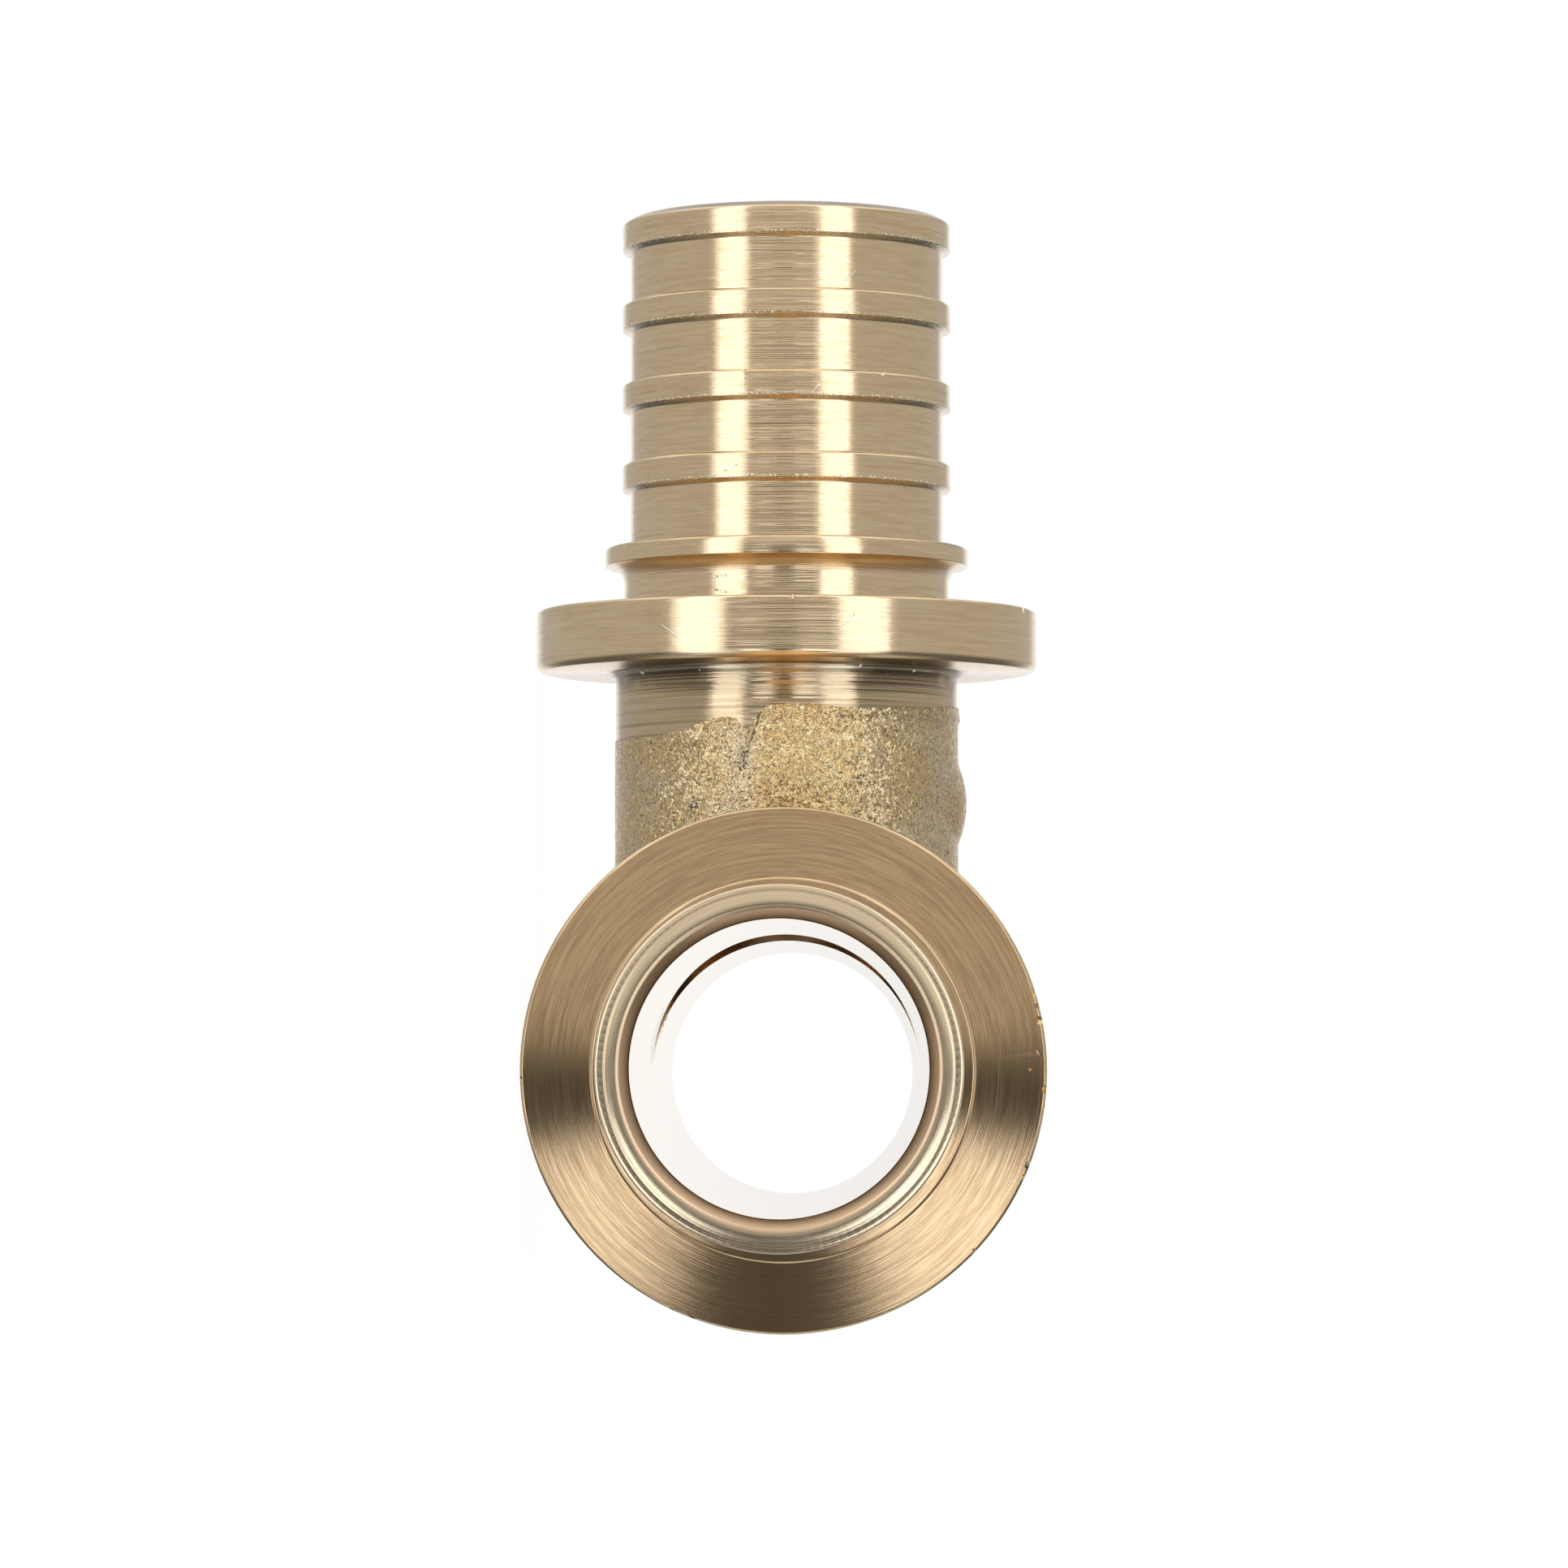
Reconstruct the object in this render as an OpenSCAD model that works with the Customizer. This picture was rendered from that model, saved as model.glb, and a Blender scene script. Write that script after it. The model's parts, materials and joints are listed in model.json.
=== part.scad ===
// Axial press tee, a pipe fitting for 20 mm plastic pipe held on by slide-on sleeves.
// It is one brass forging whose three spigots, collars and bores are turned afterwards.
// The run lies along Y and the branch along +X. The origin is where their axes cross.
// The tee lies on its three equal collars, so +Z is up and the branch lies level.

/* [Waterway] */
// Diameter of the bore through the run and the branch
bore_d = 14.6; // [10:0.1:15.2]
// Radial width of the chamfer inside each mouth
mouth_chamfer = 0.55; // [0.2:0.05:0.6]

/* [Spigots] */
// Length of each spigot, from the collar's outer face to the mouth
spigot_len = 21.6; // [21.5:0.1:30]
// Diameter over the lips that grip the pipe
lip_d = 18; // [17.8:0.1:19]
// Height of a lip above the root of the spigot
lip_rise = 0.45; // [0.2:0.05:0.6]
// Number of lips on each spigot
lip_count = 4; // [1:1:4]
// Distance from one lip to the next
lip_pitch = 4.4; // [2.5:0.1:4.5]
// Width of a lip
lip_w = 1.4; // [0.8:0.1:2]
// Width of the lip at the mouth, with its chamfer
tip_lip_w = 1.7; // [1:0.1:2.4]
// Radial width of the chamfer on the mouth lip
tip_chamfer = 0.5; // [0.1:0.05:0.6]
// Axial length of the chamfer on the mouth lip
tip_chamfer_len = 0.3; // [0.1:0.05:0.8]
// Chamfer on the edge of a lip that faces the mouth
lip_edge = 0.12; // [0.05:0.01:0.2]
// Axial slope of the flank of a lip that faces the collar
lip_flank = 0.18; // [0.05:0.01:0.4]

/* [Retaining ring] */
// Diameter of the ring between the lips and the collar
ring_d = 19.9; // [19.6:0.1:23]
// Width of the ring
ring_w = 1; // [0.6:0.1:1.6]
// Diameter of the groove between the ring and the collar
groove_d = 17.8; // [17.2:0.1:18]
// Width of the groove, from the collar's face to the underside of the ring
groove_w = 2.5; // [1.2:0.1:3]
// Radius of the cove from the groove up to the underside of the ring
ring_cove = 0.9; // [0.3:0.05:0.9]
// Radius of the ring's edge that faces the mouth
ring_edge = 0.2; // [0.1:0.05:0.3]

/* [Collars] */
// Diameter of each collar
collar_d = 27.4; // [24:0.1:32]
// Thickness of each collar
collar_t = 3.3; // [2:0.1:4.5]
// Distance from the run's axis to the outer face of the branch collar
branch_collar_at = 25.1; // [24:0.1:40]
// Distance from the branch's axis to the outer face of each run collar
run_collar_at = 18.1; // [17.5:0.1:30]
// Radius of the collar's outer rim on the side of the spigot
rim_front = 0.2; // [0.1:0.05:0.6]
// Radius of the collar's outer rim on the side of the body
rim_back = 0.45; // [0.1:0.05:0.9]
// Radius of the cove from the collar's back to the neck
neck_cove = 0.7; // [0.3:0.05:1]

/* [Body] */
// Diameter of the turned neck behind each collar
neck_d = 18.7; // [18:0.1:18.8]
// Length of the turned neck, from the collar's back to the forged skin
neck_len = 2.4; // [1.2:0.1:2.6]
// Diameter of the forged skin around the branch
branch_d = 18.8; // [18.4:0.1:19]
// Diameter of the forged skin around the run
run_d = 19.2; // [19.1:0.1:22]
// Radius of the ball that would roll along the crotch between run and branch
crotch_r = 1.5; // [0.6:0.1:1.8]

/* [Boss] */
// Distance from the run's axis to the middle of the round boss
boss_at = 14.6; // [13:0.1:17]
// Radius of the sphere that forms the boss
boss_r = 5.5; // [4:0.1:7]
// Height of the boss above the forged skin
boss_rise = 0.47; // [0.2:0.01:0.8]

/* [Hidden] */
$fn = 96;
brass = [0.80, 0.66, 0.42];
bore_r = bore_d / 2;
lip_r = lip_d / 2;
root_r = lip_r - lip_rise;
ring_r = ring_d / 2;
groove_r = groove_d / 2;
collar_r = collar_d / 2;
neck_r = neck_d / 2;
branch_r = branch_d / 2;
run_r = run_d / 2;
// The underside of the collar and the start of the forged skin, behind the collar's face
collar_back = -collar_t;
skin_end = collar_back - neck_len;
// How far a solid reaches into the one that carries it
sink = 0.5;
// How far the crotch's surface dips into both tubes at its edges
tuck = 0.01;
// Depth of the boss's foot below the forged skin
boss_foot = 1.9;
// Stations round the crotch, and steps across it
crotch_turns = 72;
crotch_steps = 8;

// Concave corner of a section, with its square corner at the origin
module cove(r) {
    difference() {
        square(r);
        translate([r, r]) circle(r);
    }
}

// What rounds off a section's outer corner at the origin, which points to +X and +Y
module corner_cut(r) {
    translate([-r, -r]) difference() {
        square(2 * r);
        circle(r);
    }
}

// Half section of one lip, with its foot in the root; z is where its flank starts
module lip_section(z) {
    polygon([
        [root_r - sink, z - lip_flank],
        [root_r, z - lip_flank],
        [lip_r, z],
        [lip_r, z + lip_w - lip_edge],
        [lip_r - lip_edge, z + lip_w],
        [root_r - sink, z + lip_w]
    ]);
}

// Half section of the mouth lip, which ends in the lead-in chamfer
module tip_lip_section(z) {
    polygon([
        [root_r - sink, z - lip_flank],
        [root_r, z - lip_flank],
        [lip_r, z],
        [lip_r, spigot_len - tip_chamfer_len],
        [lip_r - tip_chamfer, spigot_len],
        [root_r - sink, spigot_len]
    ]);
}

// Half section of the spigot, in radius and distance from the collar's face
module spigot_section() {
    translate([bore_r - sink, -sink]) square([root_r - bore_r + sink, spigot_len + sink]);
    tip_at = spigot_len - tip_lip_w;
    tip_lip_section(tip_at);
    for (k = [1 : 1 : lip_count - 1]) lip_section(tip_at - k * lip_pitch);
}

// Half section of the retaining ring and the groove below it
module ring_section() {
    translate([bore_r - sink, -sink]) square([groove_r - bore_r + sink, groove_w + sink]);
    translate([groove_r, groove_w]) mirror([0, 1]) cove(ring_cove);
    difference() {
        translate([bore_r - sink, groove_w]) square([ring_r - bore_r + sink, ring_w]);
        translate([ring_r, groove_w + ring_w]) corner_cut(ring_edge);
    }
}

// Half section of the collar, with the cove down to the neck
module collar_section() {
    difference() {
        translate([bore_r - sink, collar_back]) square([collar_r - bore_r + sink, collar_t]);
        translate([collar_r, 0]) corner_cut(rim_front);
        translate([collar_r, collar_back]) mirror([0, 1]) corner_cut(rim_back);
    }
    translate([neck_r, collar_back]) mirror([0, 1]) cove(neck_cove);
}

// Half section of the turned neck, down to the forged skin
module neck_section() {
    translate([bore_r - sink, skin_end - sink])
        square([neck_r - bore_r + sink, neck_len + 2 * sink]);
}

// One turned end along +Z, with the collar's outer face at z = 0
module turned_end() {
    rotate_extrude() {
        spigot_section();
        ring_section();
        collar_section();
        neck_section();
    }
}

// Puts its child, drawn along +Z, on the branch
module on_branch() {
    translate([branch_collar_at, 0, 0]) rotate([0, 90, 0]) children();
}

// Puts its child, drawn along +Z, on the run; side is 1 for +Y and -1 for -Y
module on_run(side) {
    translate([0, side * run_collar_at, 0]) rotate([-side * 90, 0, 0]) children();
}

// Distance of the rolling ball's centre from each axis, a little short of touching
function ball_from_branch() = branch_r + crotch_r - tuck;
function ball_from_run() = run_r + crotch_r - tuck;

// Centre of the ball that rolls round the crotch, at an angle round the branch from +Y
function ball_centre(turn) =
    let (y = ball_from_branch() * cos(turn), z = ball_from_branch() * sin(turn))
    [sqrt(pow(ball_from_run(), 2) - z * z), y, z];

// Unit vector from p to q
function toward(p, q) = (q - p) / norm(q - p);

// Unit vector from the ball to the branch's axis, and to the run's axis
function to_branch(c) = toward(c, [c.x, 0, 0]);
function to_run(c) = toward(c, [0, c.y, 0]);

// Point on the ball, a share of the way from the branch to the run
function ball_point(c, share) =
    let (a = to_branch(c), b = to_run(c), angle = acos(a * b))
    c + crotch_r * (sin((1 - share) * angle) * a + sin(share * angle) * b) / sin(angle);

// Point inside both tubes, below the ball
function crotch_root(c) =
    let (m = toward([0, 0, 0], to_branch(c) + to_run(c)))
    c + (crotch_r + 2 * sink) * m;

// Closed loop of points across the crotch at one station
function crotch_loop(turn) =
    let (c = ball_centre(turn))
    concat([for (k = [0 : crotch_steps]) ball_point(c, k / crotch_steps)], [crotch_root(c)]);

// The blend that a forging die leaves between the run and the branch
module crotch_blend() {
    ring = crotch_steps + 2;
    points = [for (i = [0 : crotch_turns - 1]) each crotch_loop(360 * i / crotch_turns)];
    faces = [
        for (i = [0 : crotch_turns - 1], k = [0 : ring - 1])
        let (
            next_i = (i + 1) % crotch_turns,
            next_k = (k + 1) % ring,
            a = i * ring + k,
            b = i * ring + next_k,
            c = next_i * ring + next_k,
            d = next_i * ring + k
        )
        each [[a, b, c], [a, c, d]]
    ];
    polyhedron(points = points, faces = faces, convexity = 4);
}

// Cap of a sphere on top of the branch, with its flat foot inside the wall
module boss() {
    top = branch_r + boss_rise;
    translate([boss_at, 0, 0]) rotate_extrude() intersection() {
        translate([0, top - boss_r]) circle(r = boss_r);
        translate([0, branch_r - boss_foot]) square([boss_r, boss_foot + boss_rise]);
    }
}

// Forged tubes of the run and the branch, with the round boss on top of the branch
module forged_skin() {
    run_skin = run_collar_at + skin_end;
    rotate([90, 0, 0]) cylinder(r = run_r, h = 2 * run_skin, center = true);
    rotate([0, 90, 0]) cylinder(r = branch_r, h = branch_collar_at + skin_end);
    boss();
    crotch_blend();
}

// What is bored out along +Z of one end: the waterway and the chamfer in its mouth
module mouth(reach) {
    mouth_r = bore_r + mouth_chamfer;
    translate([0, 0, -reach]) cylinder(r = bore_r, h = reach + spigot_len + sink);
    translate([0, 0, spigot_len - mouth_chamfer])
        cylinder(r1 = bore_r, r2 = mouth_r, h = mouth_chamfer);
    translate([0, 0, spigot_len]) cylinder(r = mouth_r, h = sink);
}

module tee_body() {
    color(brass) difference() {
        union() {
            forged_skin();
            on_branch() turned_end();
            for (side = [-1, 1]) on_run(side) turned_end();
        }
        on_branch() mouth(branch_collar_at);
        for (side = [-1, 1]) on_run(side) mouth(run_collar_at);
    }
}

tee_body();
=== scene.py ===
"""Axial press tee in brass: turned spigots, collars and necks on a forged body, with open bores."""

import json
import math

import bpy
from mathutils import Matrix, Vector

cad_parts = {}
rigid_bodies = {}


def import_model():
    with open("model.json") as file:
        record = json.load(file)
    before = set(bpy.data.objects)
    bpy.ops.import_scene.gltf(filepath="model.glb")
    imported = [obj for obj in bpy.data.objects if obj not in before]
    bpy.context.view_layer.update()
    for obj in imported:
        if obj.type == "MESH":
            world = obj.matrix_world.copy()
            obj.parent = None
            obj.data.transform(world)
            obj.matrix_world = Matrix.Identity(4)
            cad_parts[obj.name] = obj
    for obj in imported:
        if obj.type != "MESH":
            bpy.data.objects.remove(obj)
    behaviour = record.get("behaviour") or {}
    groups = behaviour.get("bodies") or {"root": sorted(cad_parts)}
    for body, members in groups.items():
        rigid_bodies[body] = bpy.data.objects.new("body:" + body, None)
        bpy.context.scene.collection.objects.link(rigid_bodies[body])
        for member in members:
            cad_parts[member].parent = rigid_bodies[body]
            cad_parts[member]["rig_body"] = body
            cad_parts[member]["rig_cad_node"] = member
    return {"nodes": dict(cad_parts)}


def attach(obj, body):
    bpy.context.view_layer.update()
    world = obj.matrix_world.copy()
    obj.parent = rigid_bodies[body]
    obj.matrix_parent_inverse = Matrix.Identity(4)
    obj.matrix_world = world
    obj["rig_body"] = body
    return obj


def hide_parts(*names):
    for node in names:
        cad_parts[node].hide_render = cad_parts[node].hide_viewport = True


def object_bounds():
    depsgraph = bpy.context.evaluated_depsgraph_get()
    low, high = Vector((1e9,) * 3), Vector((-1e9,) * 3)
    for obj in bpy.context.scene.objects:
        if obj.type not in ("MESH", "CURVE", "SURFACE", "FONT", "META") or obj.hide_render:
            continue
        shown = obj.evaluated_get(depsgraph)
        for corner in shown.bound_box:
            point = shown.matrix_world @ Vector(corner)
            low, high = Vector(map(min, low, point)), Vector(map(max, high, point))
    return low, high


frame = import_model()
cad_low, cad_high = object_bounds()

MM = 0.001

# Places taken from the frame, in millimetres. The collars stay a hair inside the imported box.
box_margin = 0.001
collar_r = -cad_low.x / MM - box_margin
branch_tip = cad_high.x / MM
run_tip = cad_high.y / MM

# Sizes of one turned end, in millimetres. Stations run outward from the collar's face.
spigot_len = 21.6
collar_t = 3.3
rim_front = 0.18
rim_back = 0.45
neck_len = 4.6
neck_r = 9.35
neck_cove = 0.7
groove_r = 8.9
groove_foot = 0.12
ring_r = 9.95
ring_low = 2.5
ring_high = 3.5
ring_cove = 0.9
ring_under = 0.05
ring_edge = 0.2
ring_foot = 0.1
root_r = 8.55
lip_r = 9.0
lip_w = 1.4
lip_pitch = 4.4
lip_count = 4
lip_edge = 0.13
lip_edge_fillet = 0.02
lip_flank = 0.18
flank_foot = 0.12
flank_top = 0.03
lip_foot = 0.07
tip_lip_w = 1.7
tip_chamfer = 0.5
tip_chamfer_len = 0.3
tip_fillet = 0.2
tip_end_fillet = 0.25

# Sizes of the bores: the chamfer of a mouth ends on a brink, from which the cutter flares away
bore_r = 7.3
mouth_r = 7.85
mouth_fillet = 0.25
brink_in = 0.05
brink_back = 0.06
flare_out = 0.95
flare_rise = 0.3
flare_past = 0.5
junction_reach = 9
junction_gap = 0.01

# Steps round the axis, degrees of a fillet's arc in one step, the distance in millimetres within which
# points merge, and the angle in degrees up to which two faces are shaded as one
turn_steps = 128
arc_step = 24
merge_within = 0.001
smooth_below = 35

# The far run end is turned round its axis by so many degrees, so that its nicks lie elsewhere
far_end_turn = 130

branch_collar_at = branch_tip - spigot_len
run_collar_at = run_tip - spigot_len

# Sizes of the forged body, in millimetres: the grid that evens it out, the plugs in its bores and the
# places where it is cut off. Its end on the branch is spread to stand proud of the turned neck.
skin_grain = 0.235
plug_r = 8.3
plug_sides = 64
branch_cut = 20.9
run_cut = 13.8
spread_from = 19.1
spread_beyond_r = 9.2
spread_by = 1.011
grain_size = 0.45
grain_height = 0.05

# The solid that cuts the skin off where the lathe stopped
stop_r = 10.2
stop_high = 26.0
stop_steps = 240
run_stop_at = 12.3

# Waves in the edge where the lathe stopped: height, number round the axis and start
branch_waves = [(0.035, 52, 0), (0.02, 131, 0)]
run_waves = [(0.35, 1, 1), (0.2, 3, 0), (0.04, 17, 0)]

# Where the lathe stopped on the branch: angle round it from the near side, and distance from the run's axis
branch_ledge = [
    (-180, 19.0), (-130, 18.4), (-90, 17.95), (-62, 17.85), (-52, 17.9), (-34, 18.2), (-29, 18.6),
    (-22, 18.9), (-16, 18.85), (-14.2, 18.3), (-12.8, 17.95), (-11.4, 18.1), (-10, 18.75), (-8, 19.2),
    (-5, 19.5), (-2, 19.62), (9, 19.62), (14, 19.48), (28, 19.42), (45, 19.55), (77, 19.85), (90, 19.9),
    (140, 19.4), (180, 19.0),
]

# Nicks in one turned end: angle round its axis, distance from it, station and size
nicks = [
    (-79, 13.72, 0.05, 0.62), (-76, 13.7, 0.0, 0.45), (-73, 13.75, 0.05, 0.38), (-94, 13.72, 0.05, 0.58),
    (-98, 13.75, 0.0, 0.42), (-111, 13.7, 0.05, 0.55), (-114, 13.75, 0.05, 0.4),
    (-133.5, 13.75, 0.0, 0.42), (-137, 13.78, 0.0, 0.34), (-157, 13.75, 0.05, 0.44),
    (92, 13.75, 0.05, 0.42), (155, 13.75, 0.0, 0.38), (160, 13.72, 0.05, 0.5), (-86, 13.2, 0.12, 0.3),
    (-90, 12.8, 0.12, 0.24), (-82, 13.0, 0.12, 0.24), (20, 13.8, -3.2, 0.40), (48, 13.8, -3.25, 0.30),
    (110, 13.8, -3.2, 0.36), (89.5, 10.0, 3.5, 0.2), (62, 10.0, 3.5, 0.2), (75.5, 9.0, 12.55, 0.34),
    (44.5, 9.02, 12.2, 0.2), (126, 9.02, 12.4, 0.16), (103, 9.02, 11.1, 0.14), (58, 9.02, 6.7, 0.14),
]

# Proportions of the solid that cuts a nick, and how far each one is turned on from the last, in radians
nick_shape = (1, 0.45, 0.6)
nick_turn = (0.9, 1.7, 0.4)

# Scratches in one turned end: height and station of the middle, slant in degrees, length and width
strokes = [
    (3.5, 17.6, 40, 0.9, 0.11), (1.64, 11.4, 50, 0.8, 0.11), (3.67, 15.8, -40, 0.7, 0.1),
    (-6.0, -1.9, -35, 1.5, 0.1), (-5.9, -1.7, 30, 1.1, 0.08), (3.4, -1.3, 45, 0.9, 0.09),
    (-3.7, 1.0, 85, 0.8, 0.1), (-3.4, 1.4, 5, 0.6, 0.1), (-3.4, 0.6, -15, 0.6, 0.1),
    (5.3, 12.4, 60, 0.5, 0.1), (-2.9, 7.2, 25, 0.8, 0.09),
]

# Forging pits near the ledge of the branch, on the side that faces +Y: x, z and radius
forging_pits = [
    (16.9, -2.1, 0.34), (16.3, -2.3, 0.4), (15.6, 4.1, 0.42), (15.4, 4.6, 0.26), (14.2, -4.9, 0.3),
]

# Colours of the turned brass, on its sides, its faces, the rim of a mouth and the neck
side_bright = (0.88, 0.66, 0.39, 1)
side_dull = (0.76, 0.54, 0.29, 1)
# A darker copy of the brass: painted shade on the faces, and random stains on the sides
face_shade_and_stain_pale = (0.605, 0.40, 0.205, 1)
face_shade_and_stain_deep = (0.44, 0.28, 0.135, 1)
rim_metal = (0.87, 0.68, 0.43, 1)
tool_line = (0.45, 0.32, 0.17, 1)
# Painted shade on the lips' flanks and in the corners under them
under_lip_shade = (0.70, 0.59, 0.41, 1)
neck_metal = (0.50, 0.36, 0.20, 1)
# Painted shade in the neck's grooves and right under the collar
neck_groove_shade = (0.34, 0.25, 0.14, 1)
# Painted shade under the collar, also the colour of the pits under its rim
pit_and_shade_dark = (0.13, 0.10, 0.06, 1)
# Pale: bare metal in the scratches, and painted highlights on the burrs and glints
scratch_and_glint_pale = (1.0, 0.9, 0.66, 1)

# Colours of the forged skin
skin_pale = (0.74, 0.55, 0.32, 1)
skin_gold = (0.71, 0.47, 0.18, 1)
skin_sparkle = (1.0, 0.81, 0.44, 1)
skin_shade = (0.27, 0.19, 0.10, 1)
pit_dark = (0.12, 0.095, 0.07, 1)
# Painted shade in the crease below the notch
crease_shade = (0.30, 0.21, 0.11, 1)

# Colours of the bores
bore_wall = (0.90, 0.74, 0.52, 1)
bore_mouth = (0.70, 0.48, 0.28, 1)

# The photograph's width and the camera's focal length in pixels, the pixel on which the run's axis
# vanishes, and where the camera stands in millimetres
image_w = 1932
focal_px = 7875
vanishing = (1042, 1342)
camera_at = (-0.99, 350, 3.24)

# Lamps: name, azimuth and elevation in degrees, width and height in metres, and radiance
lamps = [
    ("softbox_left", -40, 0, 0.245, 1.4, 1.3),
    ("softbox_right", 36, 0, 0.25, 1.4, 1.3),
    ("reflector_left", -15.5, -13.5, 0.14, 0.18, 1.8),
    ("reflector_right", 14, -13.5, 0.165, 0.18, 1.95),
]
lamp_distance = 0.6
lamp_colour = (0.93, 1.04, 1.26)


# Modelling by hand


def deselect():
    for obj in bpy.context.selected_objects:
        obj.select_set(False)


def only(obj):
    deselect()
    obj.select_set(True)
    bpy.context.view_layer.objects.active = obj


def settle(obj):
    """Puts the object's place and turn into its mesh."""
    only(obj)
    bpy.ops.object.transform_apply(location=True, rotation=True, scale=True)


def apply_modifier(obj, kind, **settings):
    only(obj)
    modifier = obj.modifiers.new(kind.lower(), kind)
    for key, value in settings.items():
        setattr(modifier, key, value)
    bpy.ops.object.modifier_apply(modifier=modifier.name)


def combine(first, second, operation):
    apply_modifier(first, "BOOLEAN", operation=operation, object=second, solver="EXACT")
    bpy.data.objects.remove(second)


def clear_slivers(obj):
    """Merges points that the cuts left almost on each other, and the faces with no area between them."""
    only(obj)
    bpy.ops.object.mode_set(mode="EDIT")
    bpy.ops.mesh.select_all(action="SELECT")
    bpy.ops.mesh.remove_doubles(threshold=merge_within * MM)
    bpy.ops.mesh.dissolve_degenerate(threshold=merge_within * MM)
    bpy.ops.object.mode_set(mode="OBJECT")


def join(first, *others):
    only(first)
    for obj in others:
        obj.select_set(True)
    bpy.ops.object.join()
    return first


def own_copy(obj, name):
    copy = obj.copy()
    copy.data = obj.data.copy()
    copy.name = name
    bpy.context.scene.collection.objects.link(copy)
    return copy


def select_points(obj, wanted):
    """Selects the mesh points whose place in millimetres is wanted, and leaves the object in edit mode."""
    only(obj)
    bpy.ops.object.mode_set(mode="EDIT")
    bpy.ops.mesh.select_mode(type="VERT")
    bpy.ops.mesh.select_all(action="DESELECT")
    bpy.ops.object.mode_set(mode="OBJECT")
    for point in obj.data.vertices:
        point.select = wanted(point.co / MM)
    bpy.ops.object.mode_set(mode="EDIT")


def rounded(corners):
    """Points of an outline whose corners (radius, station, fillet) are rounded by arcs."""
    points = []
    last = len(corners) - 1
    for i, (r, z, fillet) in enumerate(corners):
        here = Vector((r, z))
        if i in (0, last) or fillet == 0:
            points.append(here)
            continue
        before = Vector(corners[i - 1][:2]) - here
        after = Vector(corners[i + 1][:2]) - here
        half = before.angle(after) / 2
        reach = fillet / math.tan(half)
        inward = (before.normalized() + after.normalized()).normalized()
        centre = here + inward * fillet / math.sin(half)
        start = here + before.normalized() * reach - centre
        turn = start.angle_signed(here + after.normalized() * reach - centre)
        steps = max(2, round(abs(math.degrees(turn)) / arc_step))
        for k in range(steps + 1):
            points.append(centre + Matrix.Rotation(-turn * k / steps, 2) @ start)
    return points


def turn_on_lathe(name, corners):
    """Solid of revolution round Z from an outline that starts and ends on the axis, in millimetres."""
    outline = rounded(corners)
    bpy.ops.mesh.primitive_plane_add(size=1 * MM, location=(0, 0, 0))
    solid = bpy.context.object
    solid.name = name
    bpy.ops.object.mode_set(mode="EDIT")
    bpy.ops.mesh.merge(type="CENTER")
    at = Vector((outline[0].x, 0, outline[0].y)) * MM
    bpy.ops.transform.translate(value=at)
    for point in outline[1:]:
        there = Vector((point.x, 0, point.y)) * MM
        bpy.ops.mesh.extrude_region_move(TRANSFORM_OT_translate={"value": there - at})
        at = there
    bpy.ops.mesh.select_all(action="SELECT")
    bpy.ops.mesh.spin(steps=turn_steps, angle=2 * math.pi, center=(0, 0, 0), axis=(0, 0, 1))
    bpy.ops.mesh.select_all(action="SELECT")
    bpy.ops.mesh.remove_doubles(threshold=merge_within * MM)
    bpy.ops.mesh.normals_make_consistent(inside=False)
    bpy.ops.object.mode_set(mode="OBJECT")
    return solid


def lip_corners(low):
    """One lip, from its flank towards the collar to its edge towards the mouth."""
    return [
        (root_r, low - lip_flank, flank_foot),
        (lip_r, low, flank_top),
        (lip_r, low + lip_w - lip_edge, lip_edge_fillet),
        (lip_r - lip_edge, low + lip_w, lip_edge_fillet),
        (root_r, low + lip_w, lip_foot),
    ]


def end_outline():
    """Corners of one end: neck, collar, groove, retaining ring, lips and mouth."""
    corners = [
        (0, -collar_t - neck_len, 0),
        (neck_r, -collar_t - neck_len, 0),
        (neck_r, -collar_t, neck_cove),
        (collar_r, -collar_t, rim_back),
        (collar_r, 0, rim_front),
        (groove_r, 0, groove_foot),
        (groove_r, ring_low, ring_cove),
        (ring_r, ring_low, ring_under),
        (ring_r, ring_high, ring_edge),
        (root_r, ring_high, ring_foot),
    ]
    tip_low = spigot_len - tip_lip_w
    for k in reversed(range(1, lip_count)):
        corners += lip_corners(tip_low - k * lip_pitch)
    return corners + [
        (root_r, tip_low - lip_flank, flank_foot),
        (lip_r, tip_low, flank_top),
        (lip_r, spigot_len - tip_chamfer_len, tip_fillet),
        (lip_r - tip_chamfer, spigot_len, tip_end_fillet),
        (0, spigot_len, 0),
    ]


def nicked(end):
    """Cuts the nicks that handling leaves in the edges of a turned end."""
    cutters = []
    for k, (turn, radius, station, size) in enumerate(nicks):
        side = math.radians(turn)
        bpy.ops.mesh.primitive_ico_sphere_add(
            subdivisions=1, radius=size * MM, scale=nick_shape,
            rotation=(k * nick_turn[0], k * nick_turn[1], side + k * nick_turn[2]),
            location=Vector((math.cos(side) * radius, math.sin(side) * radius, station)) * MM
        )
        cutters.append(bpy.context.object)
    combine(end, join(*cutters), "DIFFERENCE")
    return end


def mouth_corners(length):
    """Corners of what is bored out at one mouth, up to a little beyond it."""
    return [
        (bore_r, length - (mouth_r - bore_r), mouth_fillet),
        (mouth_r - brink_in, length - brink_back, mouth_fillet),
        (mouth_r + flare_out, length + flare_rise, 0),
        (mouth_r + flare_out, length + flare_past, 0),
        (0, length + flare_past, 0),
    ]


def run_bore_outline():
    """Corners of the bore through the whole run, with a mouth at both ends."""
    upper = mouth_corners(run_tip)
    lower = [(r, -z, fillet) for r, z, fillet in reversed(upper)]
    return lower + [(bore_r, -junction_reach, 0), (bore_r, junction_reach, 0)] + upper


def branch_bore_outline():
    """Corners of the bore out of the branch, a hair narrower where it meets the run's."""
    inner_r = bore_r - junction_gap
    return [(0, 0, 0), (inner_r, 0, 0), (inner_r, junction_reach, 0)] + mouth_corners(branch_tip)


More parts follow.
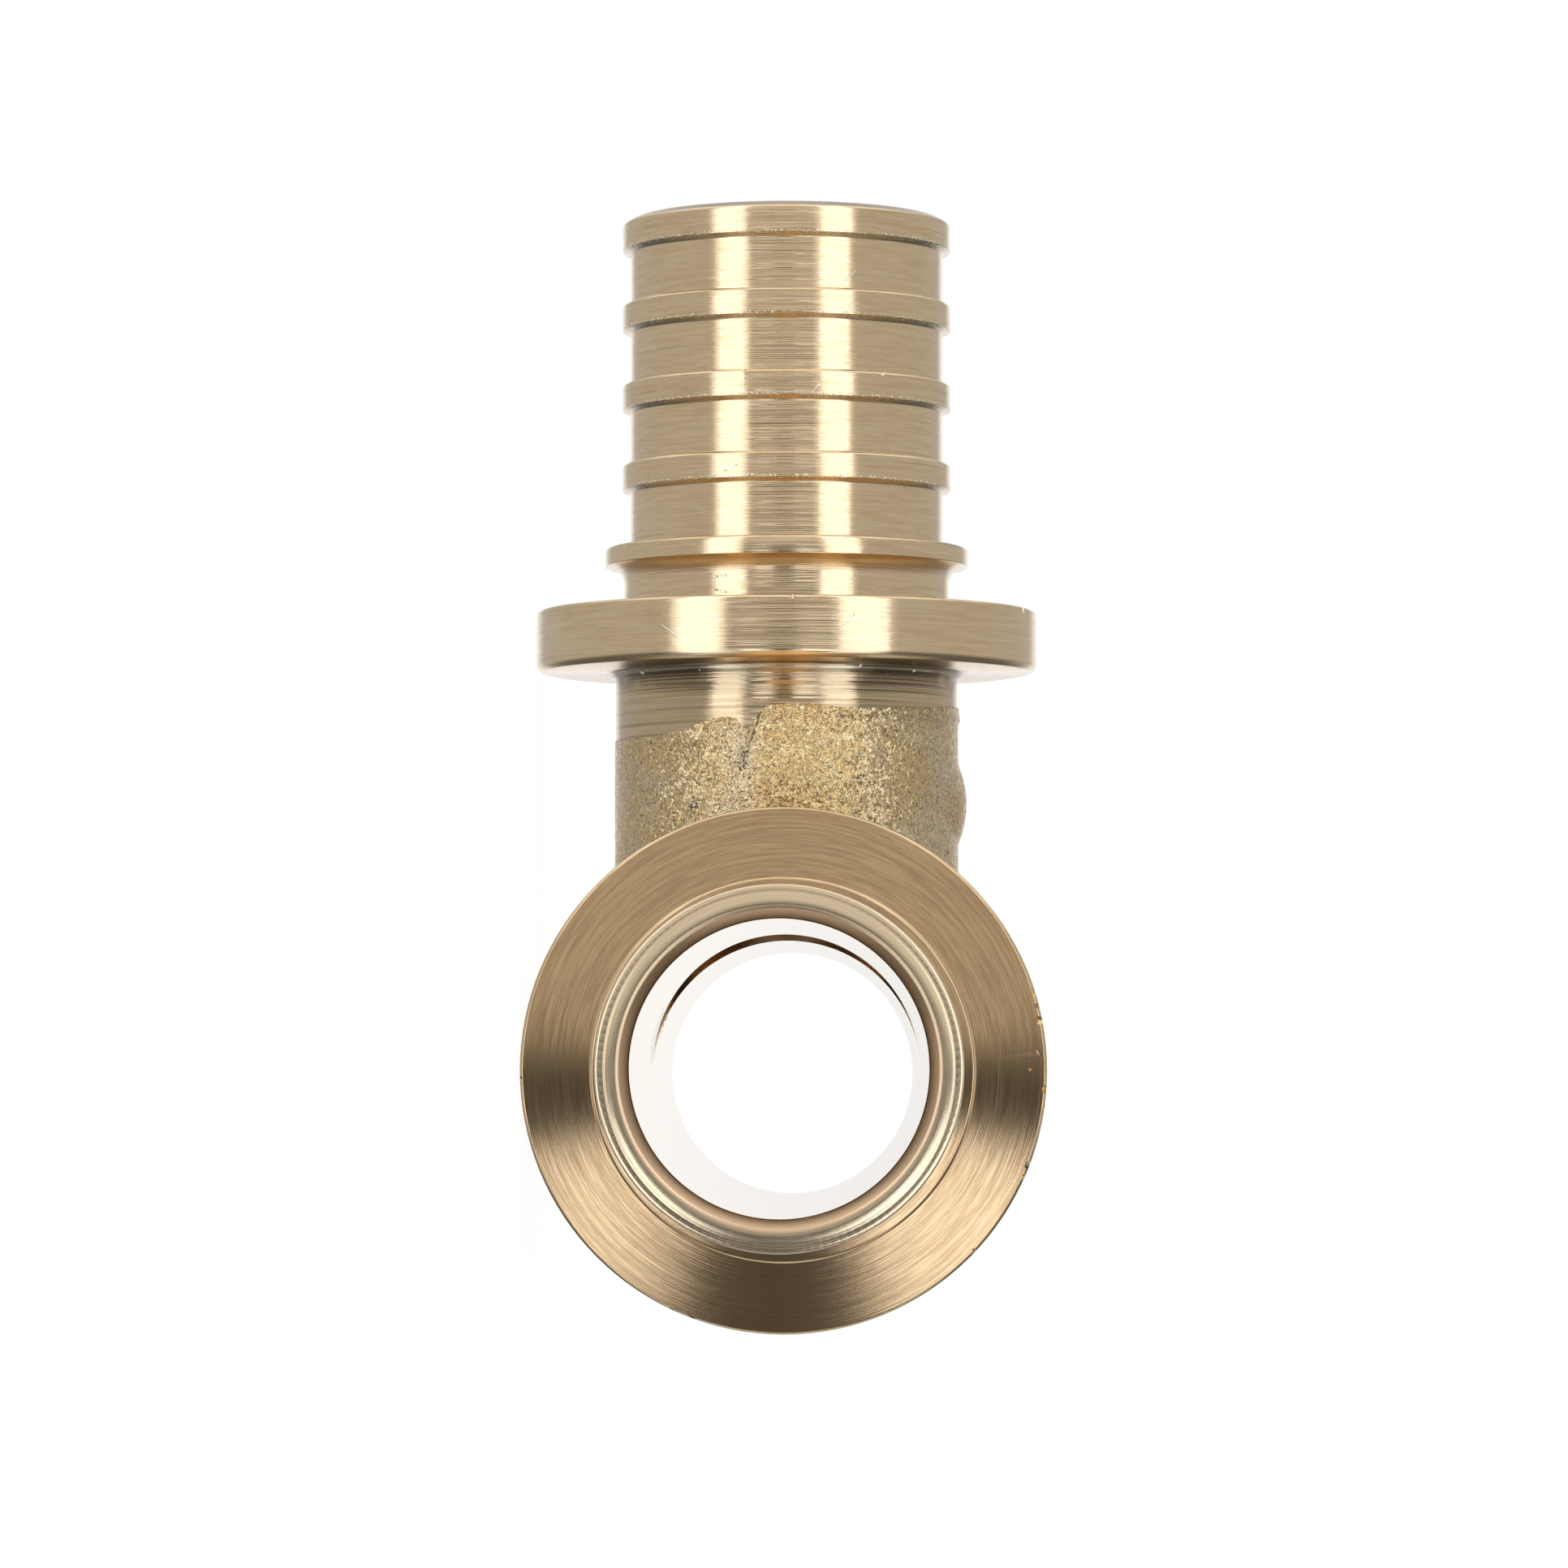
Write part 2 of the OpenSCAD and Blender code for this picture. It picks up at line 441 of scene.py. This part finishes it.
def stand_on(obj, axis, at=0):
    """Turns a solid made along Z to lie along an axis, with its station 0 at a distance."""
    turns = {"+X": (0, math.pi / 2, 0), "+Y": (-math.pi / 2, 0, 0), "-Y": (math.pi / 2, 0, 0)}
    ways = {"+X": Vector((1, 0, 0)), "+Y": Vector((0, 1, 0)), "-Y": Vector((0, -1, 0))}
    obj.rotation_euler = turns[axis]
    obj.location = ways[axis] * at * MM
    settle(obj)
    return obj


def waved(level, turn, waves):
    """A level with waves on it, at an angle in radians round the axis."""
    for height, count, start in waves:
        level += height * math.sin(count * turn + start)
    return level


def branch_ledge_at(turn):
    """Distance from the run's axis at which the lathe stopped on the branch.

    turn is measured on the solid before it is laid along the branch, from the side that comes to face
    -Z, towards +Y."""
    side = math.radians(turn)
    place = math.degrees(math.atan2(-math.cos(side), math.sin(side)))
    for (a, low), (b, high) in zip(branch_ledge, branch_ledge[1:]):
        if a <= place <= b:
            share = (place - a) / (b - a)
            smooth = share * share * (3 - 2 * share)
            return low + (high - low) * smooth + waved(0, math.radians(place), branch_waves)
    return branch_ledge[0][1]


def run_ledge_at(turn):
    """Distance from the branch's axis at which the lathe stopped on the run."""
    return waved(run_stop_at, math.radians(turn), run_waves)


def lathe_stop(name, ledge):
    """Solid that cuts the forged skin off where the lathe stopped: a cylinder with a wavy lower end.

    ledge gives the distance from the origin at an angle in degrees round the axis."""
    foot_high, near = 0.1, 0.05
    bpy.ops.mesh.primitive_cylinder_add(
        vertices=stop_steps, radius=stop_r * MM, depth=stop_high * MM, end_fill_type="TRIFAN",
        location=(0, 0, stop_high / 2 * MM)
    )
    stop = bpy.context.object
    stop.name = name
    settle(stop)
    for k in range(stop_steps):
        turn = 2 * math.pi * k / stop_steps
        on_edge = Vector((math.sin(turn), math.cos(turn))) * stop_r
        select_points(stop, lambda p: p.z < foot_high and (p.xy - on_edge).length < near)
        bpy.ops.transform.translate(value=(0, 0, ledge(90 - math.degrees(turn)) * MM))
        bpy.ops.object.mode_set(mode="OBJECT")
    middle = sum(ledge(360 * k / stop_steps) for k in range(stop_steps)) / stop_steps
    select_points(stop, lambda p: p.z < foot_high and p.xy.length < near)
    bpy.ops.transform.translate(value=(0, 0, middle * MM))
    bpy.ops.object.mode_set(mode="OBJECT")
    return stop


def plug(length, turn, along=0):
    """Cylinder that fills a bore, with its middle at a distance along +X, in millimetres."""
    bpy.ops.mesh.primitive_cylinder_add(
        vertices=plug_sides, radius=plug_r * MM, depth=length * MM, location=(along * MM, 0, 0), rotation=turn
    )
    return bpy.context.object


def forged_body():
    """The forged skin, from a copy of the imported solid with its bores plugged, evened out by a fine grid."""
    body = own_copy(frame["nodes"]["tee_body"], "forged_body")
    body.parent = None
    only(body)
    bpy.ops.object.mode_set(mode="EDIT")
    bpy.ops.mesh.select_all(action="SELECT")
    bpy.ops.mesh.remove_doubles(threshold=merge_within * MM)
    cuts = [((branch_cut, 0, 0), (1, 0, 0)), ((0, run_cut, 0), (0, 1, 0)), ((0, -run_cut, 0), (0, -1, 0))]
    for place, way in cuts:
        bpy.ops.mesh.select_all(action="SELECT")
        bpy.ops.mesh.bisect(plane_co=Vector(place) * MM, plane_no=way, clear_outer=True, use_fill=True)
    bpy.ops.object.mode_set(mode="OBJECT")
    run_plug = plug(2 * run_cut, (math.pi / 2, 0, 0))
    branch_plug = plug(branch_cut, (0, math.pi / 2, 0), branch_cut / 2)
    join(body, run_plug, branch_plug)
    apply_modifier(body, "REMESH", mode="VOXEL", voxel_size=skin_grain * MM)
    select_points(body, lambda p: p.x > spread_from and math.hypot(p.y, p.z) > spread_beyond_r)
    bpy.ops.transform.resize(value=(1, spread_by, spread_by), center_override=(0, 0, 0))
    bpy.ops.object.mode_set(mode="OBJECT")
    grain = bpy.data.textures.new("forging_grain", "CLOUDS")
    grain.noise_scale = grain_size * MM
    grain.noise_depth = 1
    apply_modifier(
        body, "DISPLACE", texture=grain, texture_coords="LOCAL", strength=grain_height * MM, mid_level=0.5
    )
    near_stop = lathe_stop("near_stop", run_ledge_at)
    far_stop = stand_on(own_copy(near_stop, "far_stop"), "-Y")
    branch_stop = stand_on(lathe_stop("branch_stop", branch_ledge_at), "+X")
    combine(body, join(branch_stop, stand_on(near_stop, "+Y"), far_stop), "DIFFERENCE")
    return body


# Shaders


class Socket:
    """A socket whose operators add Math nodes, so that shader maths reads as an expression."""

    def __init__(self, graph, link):
        self.graph = graph
        self.link = link

    def other(self, name):
        return Socket(self.graph, self.link.node.outputs[name])

    def math(self, operation, *others):
        return self.graph.add("ShaderNodeMath", {"operation": operation}, self, *others)

    def __add__(self, other):
        return self.math("ADD", other)

    def __mul__(self, other):
        return self.math("MULTIPLY", other)

    def __sub__(self, other):
        return self.math("SUBTRACT", other)

    def __truediv__(self, other):
        return self.math("DIVIDE", other)

    def __rsub__(self, other):
        return self.graph.add("ShaderNodeMath", {"operation": "SUBTRACT"}, other, self)

    def __abs__(self):
        return self.math("ABSOLUTE")

    def above(self, level):
        return self.math("GREATER_THAN", level)

    def most(self, other):
        return self.math("MAXIMUM", other)

    def ramp(self, low, high, to_low=0.0, to_high=1.0):
        """Smooth step of this value from low to high."""
        return self.graph.add(
            "ShaderNodeMapRange", {"interpolation_type": "SMOOTHSTEP"}, self, low, high, to_low, to_high
        )

    __radd__ = __add__
    __rmul__ = __mul__


class Graph:
    """The node tree of a material or world. add() makes any node and returns one of its outputs."""

    def __init__(self, owner):
        self.owner = owner
        owner.use_nodes = True
        self.tree = owner.node_tree

    def add(self, kind, settings=None, *values, out=0, **named):
        node = self.tree.nodes.new(kind)
        for key, value in (settings or {}).items():
            setattr(node, key, value)
        for key, value in [*enumerate(values), *named.items()]:
            self.feed(node.inputs[key.replace("_", " ") if isinstance(key, str) else key], value)
        return Socket(self, node.outputs[out])

    def feed(self, socket, value):
        if isinstance(value, Socket):
            self.tree.links.new(value.link, socket)
        else:
            socket.default_value = value

    def set(self, node, **inputs):
        for key, value in inputs.items():
            self.feed(self.tree.nodes[node].inputs[key.replace("_", " ")], value)

    def place(self):
        """Object coordinates in millimetres."""
        coordinates = self.add("ShaderNodeTexCoord", out="Object")
        return self.add("ShaderNodeVectorMath", {"operation": "SCALE"}, coordinates, Scale=1 / MM)

    def split(self, vector):
        x = self.add("ShaderNodeSeparateXYZ", None, vector)
        return x, x.other("Y"), x.other("Z")

    def vector(self, x, y, z):
        return self.add("ShaderNodeCombineXYZ", None, x, y, z)

    def noise(self, vector, scale, detail=2.0, roughness=0.5):
        return self.add(
            "ShaderNodeTexNoise", None, Vector=vector, Scale=scale, Detail=detail, Roughness=roughness
        )

    def mix(self, factor, first, second):
        node = self.add("ShaderNodeMix", {"data_type": "RGBA"}).link.node
        for name, value in (("Factor_Float", factor), ("A_Color", first), ("B_Color", second)):
            socket = next(s for s in node.inputs if s.identifier == name)
            self.feed(socket, value)
        return Socket(self, next(s for s in node.outputs if s.identifier == "Result_Color"))

    def bump(self, height):
        """Normal of a relief whose height is in millimetres."""
        return self.add("ShaderNodeBump", None, Height=height, Distance=MM, Strength=1.0)


class Lathe:
    """Where a point lies on the turned end that it belongs to, in millimetres, and which way it faces."""

    branch_from = 15.5

    def __init__(self, graph):
        x, y, z = graph.split(graph.place())
        turned_x, turned_y, _ = graph.split(graph.add("ShaderNodeNewGeometry", out="Normal"))
        on_branch = x.above(self.branch_from)
        along = abs(y) + (x - abs(y)) * on_branch
        across = x + (y - x) * on_branch
        self.graph = graph
        self.radius = (across * across + z * z).math("SQRT")
        self.side = across / self.radius
        self.up = z / self.radius
        self.station = along - run_collar_at - on_branch * (branch_collar_at - run_collar_at)
        outward = turned_y * y.math("SIGN")
        self.facing = outward + (turned_x - outward) * on_branch
        self.round = self.side.math("ARCTAN2", self.up) * self.radius

    def marks(self, pitch, wander, detail=1.0, roughness=0.5):
        """Relief of the tool's marks, 0 to 1: even round the axis, with a slow change along each mark."""
        step = self.station + self.radius * 1.3
        way = self.graph.vector(step / pitch, self.side * wander, self.up * wander)
        return self.graph.noise(way, 1.0, detail, roughness)


def turned_brass():
    """Metal with the lathe's marks, deep on the neck and fine elsewhere. Heights are in millimetres."""
    graph = Graph(bpy.data.materials.new("turned_brass"))
    lathe = Lathe(graph)
    place = graph.place()

    # Where each finish lies
    on_neck = 1 - lathe.station.ramp(-collar_t - 0.35, -collar_t + 0.1)
    under_collar = lathe.station.ramp(-collar_t - 1.5, -collar_t - 0.4) * on_neck
    on_face = lathe.facing.ramp(0.75, 0.95)
    corner_shade_mask = lathe.facing.ramp(-0.15, -0.6) * (1 - lathe.radius.above(ring_r + 0.1))

    # The lathe's marks, the burrs along the lips, small nicks and the cone to which the faces are dished
    fine = lathe.marks(0.07, 0.35, 2.0, 0.7)
    broad = lathe.marks(0.35, 0.3)
    deep = lathe.marks(0.22, 0.5)
    line = lathe.marks(0.11, 0.6, 2.0, 0.8)
    lip_edge_at = lathe.station.math("MODULO", lip_pitch) - (spigot_len - tip_lip_w) % lip_pitch
    on_lip_edge = abs(lip_edge_at).ramp(0.16, 0.06) * lathe.station.above(5.0)
    # Burrs along the lips: a little relief, with a painted highlight in the colour
    burr_glint = on_lip_edge * graph.noise(place, 7.0).ramp(0.56, 0.64)
    nick = specks(graph, place, 3.4, 0.09, 0.45)
    cone = lathe.radius * -0.11
    on_tip = lathe.station.above(spigot_len - tip_lip_w) * lathe.facing.ramp(0.2, 0.5)
    off_face = 1 - on_face
    scratch = scratches(graph, lathe)
    # Painted glints: pale specks under the collar on one side, with a little relief
    glint = specks(graph, place, 0.8, 0.16, 0.2) * under_collar * lathe.side.above(0.0)
    under_rim = lathe.facing.ramp(-0.6, -0.9) * lathe.radius.ramp(9.8, 10.6)
    pit = specks(graph, place, 1.1, 0.13, 0.3) * under_rim
    relief = (fine * (0.004 + off_face * 0.008) + broad * (0.003 + off_face * 0.003)
              + line.ramp(0.6, 0.8) * off_face * 0.005 + deep * on_neck * 0.05
              + lathe.station.ramp(-5.3, -3.6) * on_neck * 0.26
              - lathe.station.ramp(spigot_len - tip_chamfer_len, spigot_len + 0.02) * 0.3
              + burr_glint * 0.03 + glint * 0.04 - nick * 0.05 - pit * 0.05 + scratch * 0.03 + cone)

    # Colour, from clean metal to what lies on it, with painted shade and painted highlights among the layers
    tint = lathe.marks(0.2, 3.2, 3.0, 0.8)
    stain = graph.noise(place, 0.5, 3.0)
    on_sides = graph.mix(tint.ramp(0.3, 0.72), side_bright, side_dull)
    # Painted shade: the faces get a darker copy of the brass, which random stains also carry onto the sides
    shaded_faces_and_stains = graph.mix(tint.ramp(0.34, 0.64), face_shade_and_stain_pale, face_shade_and_stain_deep)
    below_tip = 1 - on_tip
    colour = graph.mix(on_face * below_tip * 0.95 + stain.ramp(0.55, 0.8, 0.0, 0.15), on_sides, shaded_faces_and_stains)
    colour = graph.mix(on_tip * 0.6, colour, rim_metal)
    colour = graph.mix(line.ramp(0.4, 0.26) * 0.4, colour, tool_line)
    # Painted shade on the faces that look back towards the collar, below the ring's edge
    colour = graph.mix(corner_shade_mask * 0.85, colour, under_lip_shade)
    colour = graph.mix(on_neck * (1 - under_rim) * 0.5, colour, neck_metal)
    # Painted shade in the bottoms of the neck's deep marks and right under the collar
    colour = graph.mix(on_neck * deep.ramp(0.55, 0.3) * 0.7 + under_collar * 0.3, colour, neck_groove_shade)
    # Painted shade in patches under the collar on the neck's sides; the pits under the rim get the same dark
    # colour
    under_collar_shade = under_collar * abs(lathe.up * lathe.radius).ramp(3.4, 5.0) * stain.ramp(0.3, 0.5)
    colour = graph.mix(pit.most(under_collar_shade * 0.7), colour, pit_and_shade_dark)
    # Scratches show bare metal; burrs and glints get painted highlights
    colour = graph.mix(burr_glint.most(scratch).most(glint), colour, scratch_and_glint_pale)
    roughness = tint.ramp(0.3, 0.7, 0.09, 0.14) + on_tip * 0.06
    graph.set("Principled BSDF", Base_Color=colour, Metallic=1.0, Roughness=roughness,
              Normal=graph.bump(relief))
    return graph.owner


def stroke(lathe, height, station, slant, length, width):
    """Mask of one scratch on the side of a turned end that faces the camera or the branch."""
    cosine, sine = math.cos(math.radians(slant)), math.sin(math.radians(slant))
    level = lathe.up * lathe.radius
    along = abs(level * cosine + lathe.station * sine - (height * cosine + station * sine))
    across = abs(lathe.station * cosine - level * sine - (station * cosine - height * sine))
    return along.ramp(length / 2, length * 0.3) * across.ramp(width / 2, width * 0.25)


def scratches(graph, lathe):
    """Mask of short thin strokes that run aslant over the lathe's marks."""
    stroke_len, stroke_gap = 1.1, 0.16
    along = (lathe.round + lathe.station * 1.4) / stroke_len
    across = (lathe.station - lathe.round * 1.1) / stroke_gap
    way = graph.vector(along, across, 0)
    cells = graph.add("ShaderNodeTexVoronoi", {"voronoi_dimensions": "2D"}, Vector=way)
    marks = cells.ramp(0.42, 0.3) * graph.split(cells.other("Color"))[0].above(0.99)
    chosen = sum(stroke(lathe, *row) for row in strokes) * lathe.side.above(0.0)
    return marks.most(chosen) * abs(lathe.facing).ramp(0.6, 0.3)


def specks(graph, place, spread, size, share):
    """Mask of small round spots: a share of the cells of a width holds one of a radius."""
    cells = graph.add("ShaderNodeTexVoronoi", None, Vector=place, Scale=1 / spread)
    chosen = graph.split(cells.other("Color"))[0].above(1 - share)
    return (cells * spread).ramp(size, size * 0.5) * chosen


def facets(graph, place, size, tilt):
    """Relief of crystal grains that each lean their own way, and a random value for each grain."""
    cells = graph.add("ShaderNodeTexVoronoi", None, Vector=place, Scale=1 / size, out="Color")
    centre = cells.other("Position")
    away = graph.add("ShaderNodeVectorMath", {"operation": "SUBTRACT"}, place, centre)
    lean = graph.add("ShaderNodeVectorMath", {"operation": "SUBTRACT"}, cells, (0.5, 0.5, 0.5))
    slope = graph.add("ShaderNodeVectorMath", {"operation": "DOT_PRODUCT"}, away, lean, out="Value")
    return slope * tilt, graph.split(cells)[0]


def forged_brass():
    """The blasted skin of the forging: grains that lean and sparkle, pits, and the crease below the notch."""
    graph = Graph(bpy.data.materials.new("forged_brass"))
    place = graph.place()
    grain = graph.noise(place, 7.0, 2.0, 0.6)
    swell = graph.noise(place, 1.4, 1.0)
    flakes, shade = facets(graph, place, 0.17, 0.55)
    patch = graph.noise(place, 0.35, 2.0)
    x, y, z = graph.split(place)
    near = y.above(0.0)
    off_crease = abs(z + 1.85 - (x - 18.0) * 0.33 - (swell - 0.5) * 0.5)
    crease = off_crease.ramp(0.3, 0.04) * x.ramp(14.5, 17.8) * near
    relief = grain * 0.055 + swell * 0.05 + flakes - crease * 0.09
    lobe = z.ramp(-2.2, -1.0) * z.ramp(7.0, 3.0) * near * 0.8
    colour = graph.mix((patch.ramp(0.35, 0.65) * 0.7).most(lobe), skin_pale, skin_gold)
    # Painted sparkle: a random share of the grains is paler
    colour = graph.mix(shade.ramp(0.64, 0.97), colour, skin_sparkle)
    # Painted shade in the low spots of the grain
    colour = graph.mix(grain.ramp(0.48, 0.3), colour, skin_shade)
    hollow = specks(graph, place, 2.4, 0.34, 0.1)
    for pit_x, pit_z, size in forging_pits:
        away = ((x - pit_x) * (x - pit_x) + (z - pit_z) * (z - pit_z)).math("SQRT")
        hollow = hollow.most(away.ramp(size, size * 0.5) * near)
    colour = graph.mix(hollow * grain.ramp(0.54, 0.46), colour, pit_dark)
    # Painted shade in the crease below the notch
    colour = graph.mix(crease * 0.45, colour, crease_shade)
    graph.set("Principled BSDF", Base_Color=colour, Metallic=1.0, Roughness=0.24, Normal=graph.bump(relief))
    return graph.owner


def bored_brass():
    """The wall of the waterway, smooth inside and duller on the chamfer of a mouth."""
    graph = Graph(bpy.data.materials.new("bored_brass"))
    lathe = Lathe(graph)
    at_mouth = lathe.radius.ramp(bore_r + 0.01, bore_r + 0.06)
    relief = lathe.marks(0.3, 0.5) * 0.0005
    colour = graph.mix(at_mouth, bore_wall, bore_mouth)
    graph.set("Principled BSDF", Base_Color=colour, Metallic=1.0,
              Roughness=0.1 + at_mouth * 0.22, Normal=graph.bump(relief))
    return graph.owner


# Camera


def make_camera():
    """The photograph's view: along the run from its near end, level, with the branch up in the picture."""
    centre = Vector((image_w / 2, image_w / 2))
    off = (centre - Vector(vanishing)) / focal_px
    ahead = Vector((-off.y, -1, off.x)).normalized()
    up = Vector((1, 0, 0))
    right = ahead.cross(up).normalized()
    up = right.cross(ahead)
    data = bpy.data.cameras.new("camera")
    data.sensor_width = 36
    data.lens = focal_px * data.sensor_width / image_w
    data.clip_start = 0.01
    data.clip_end = 10
    camera = bpy.data.objects.new("camera", data)
    turn = Matrix((right, up, -ahead)).transposed().to_4x4()
    camera.matrix_world = Matrix.Translation(Vector(camera_at) * MM) @ turn
    bpy.context.scene.collection.objects.link(camera)
    bpy.context.scene.camera = camera


# Light and floor


def softbox(name, azimuth, elevation, width, height, radiance):
    """A rectangular lamp that faces the tee.

    Azimuth turns from the camera towards +Z, elevation towards +X."""
    a, e = math.radians(azimuth), math.radians(elevation)
    way = Vector((math.sin(e), math.cos(e) * math.cos(a), math.cos(e) * math.sin(a)))
    data = bpy.data.lights.new(name, "AREA")
    data.shape = "RECTANGLE"
    data.size = width
    data.size_y = height
    data.energy = radiance * math.pi * width * height
    data.color = lamp_colour
    lamp = bpy.data.objects.new(name, data)
    up = (Vector((1, 0, 0)) - way * way.x).normalized()
    turn = Matrix((up.cross(way), up, way)).transposed().to_4x4()
    lamp.matrix_world = Matrix.Translation(way * lamp_distance) @ turn
    bpy.context.scene.collection.objects.link(lamp)


def make_world():
    """A soft studio: darker round the camera, brighter above the branch's end, white behind the tee."""
    graph = Graph(bpy.data.worlds.new("studio"))
    way = graph.add("ShaderNodeTexCoord", out="Generated")
    x, y, z = graph.split(way)
    room = x.ramp(0.3, 0.9, 0.52, 1.1) - x.ramp(-0.08, -0.5, 0.0, 0.38) + x.ramp(-0.75, -0.95, 0.0, 0.5)
    camera_side = x.ramp(-0.005, 0.065, 0.07, 0.73) + x.ramp(-0.12, -0.24, 0.0, 0.06)
    level = room + (camera_side - room) * y.ramp(0.8, 0.94)
    behind = y.ramp(-0.86, -0.98)
    seen = graph.add("ShaderNodeLightPath", out="Is Camera Ray")
    cool_grey = graph.add("ShaderNodeCombineColor", None, level * 0.97, level, level * 1.08)
    graph.set("Background", Color=graph.mix(behind.most(seen), cool_grey, (1, 1, 1, 1)))
    bpy.context.scene.world = graph.owner


def make_floor():
    """The plain pale floor under the collars. The left lamps are below it, so it casts no shadow, and the
    brass doesn't mirror it."""
    bpy.ops.mesh.primitive_plane_add(size=4, location=(0, 0, cad_low.z))
    floor = bpy.context.object
    floor.name = "floor"
    settle(floor)
    graph = Graph(bpy.data.materials.new("floor"))
    graph.set("Principled BSDF", Base_Color=(0.9, 0.9, 0.9, 1), Roughness=0.9)
    seen = graph.add("ShaderNodeLightPath", out="Is Camera Ray")
    white = graph.add("ShaderNodeEmission", None, (1, 1, 1, 1), 1.12)
    plain = Socket(graph, graph.tree.nodes["Principled BSDF"].outputs[0])
    graph.set("Material Output", Surface=graph.add("ShaderNodeMixShader", None, seen * 0.85, plain, white))
    floor.data.materials.append(graph.owner)
    floor.visible_glossy = False
    floor.visible_shadow = False


# The tee


def finish_with(obj, index):
    """Gives an object all the tee's finishes and puts one of them on every face."""
    obj.data.materials.clear()
    for material in finishes:
        obj.data.materials.append(material)
    only(obj)
    bpy.ops.object.mode_set(mode="EDIT")
    bpy.ops.mesh.select_all(action="SELECT")
    obj.active_material_index = index
    bpy.ops.object.material_slot_assign()
    bpy.ops.object.mode_set(mode="OBJECT")


deselect()
make_camera()
make_world()
for lamp_row in lamps:
    softbox(*lamp_row)
make_floor()

finishes = [forged_brass(), turned_brass(), bored_brass()]
FORGED, TURNED, BORED = range(len(finishes))

end = nicked(turn_on_lathe("branch_end", end_outline()))
finish_with(end, TURNED)
ends = [end, own_copy(end, "near_run_end"), own_copy(end, "far_run_end")]
ends[2].rotation_euler = (0, 0, math.radians(far_end_turn))
settle(ends[2])
for obj, axis, at in zip(ends, ("+X", "+Y", "-Y"), (branch_collar_at, run_collar_at, run_collar_at)):
    stand_on(obj, axis, at)

run_bore = stand_on(turn_on_lathe("run_bore", run_bore_outline()), "+Y")
branch_bore = stand_on(turn_on_lathe("branch_bore", branch_bore_outline()), "+X")
finish_with(run_bore, BORED)
finish_with(branch_bore, BORED)

tee = forged_body()
finish_with(tee, FORGED)
combine(tee, join(*ends), "UNION")
combine(tee, run_bore, "DIFFERENCE")
combine(tee, branch_bore, "DIFFERENCE")
tee.name = "brass_tee"
clear_slivers(tee)
only(tee)
bpy.ops.object.shade_smooth_by_angle(angle=math.radians(smooth_below))
apply_modifier(tee, "WEIGHTED_NORMAL", keep_sharp=True, weight=50)

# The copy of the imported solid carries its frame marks, which a new piece must not have
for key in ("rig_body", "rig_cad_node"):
    if key in tee:
        del tee[key]
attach(tee, "root")
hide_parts("tee_body")

bpy.context.scene.view_settings.view_transform = "Standard"
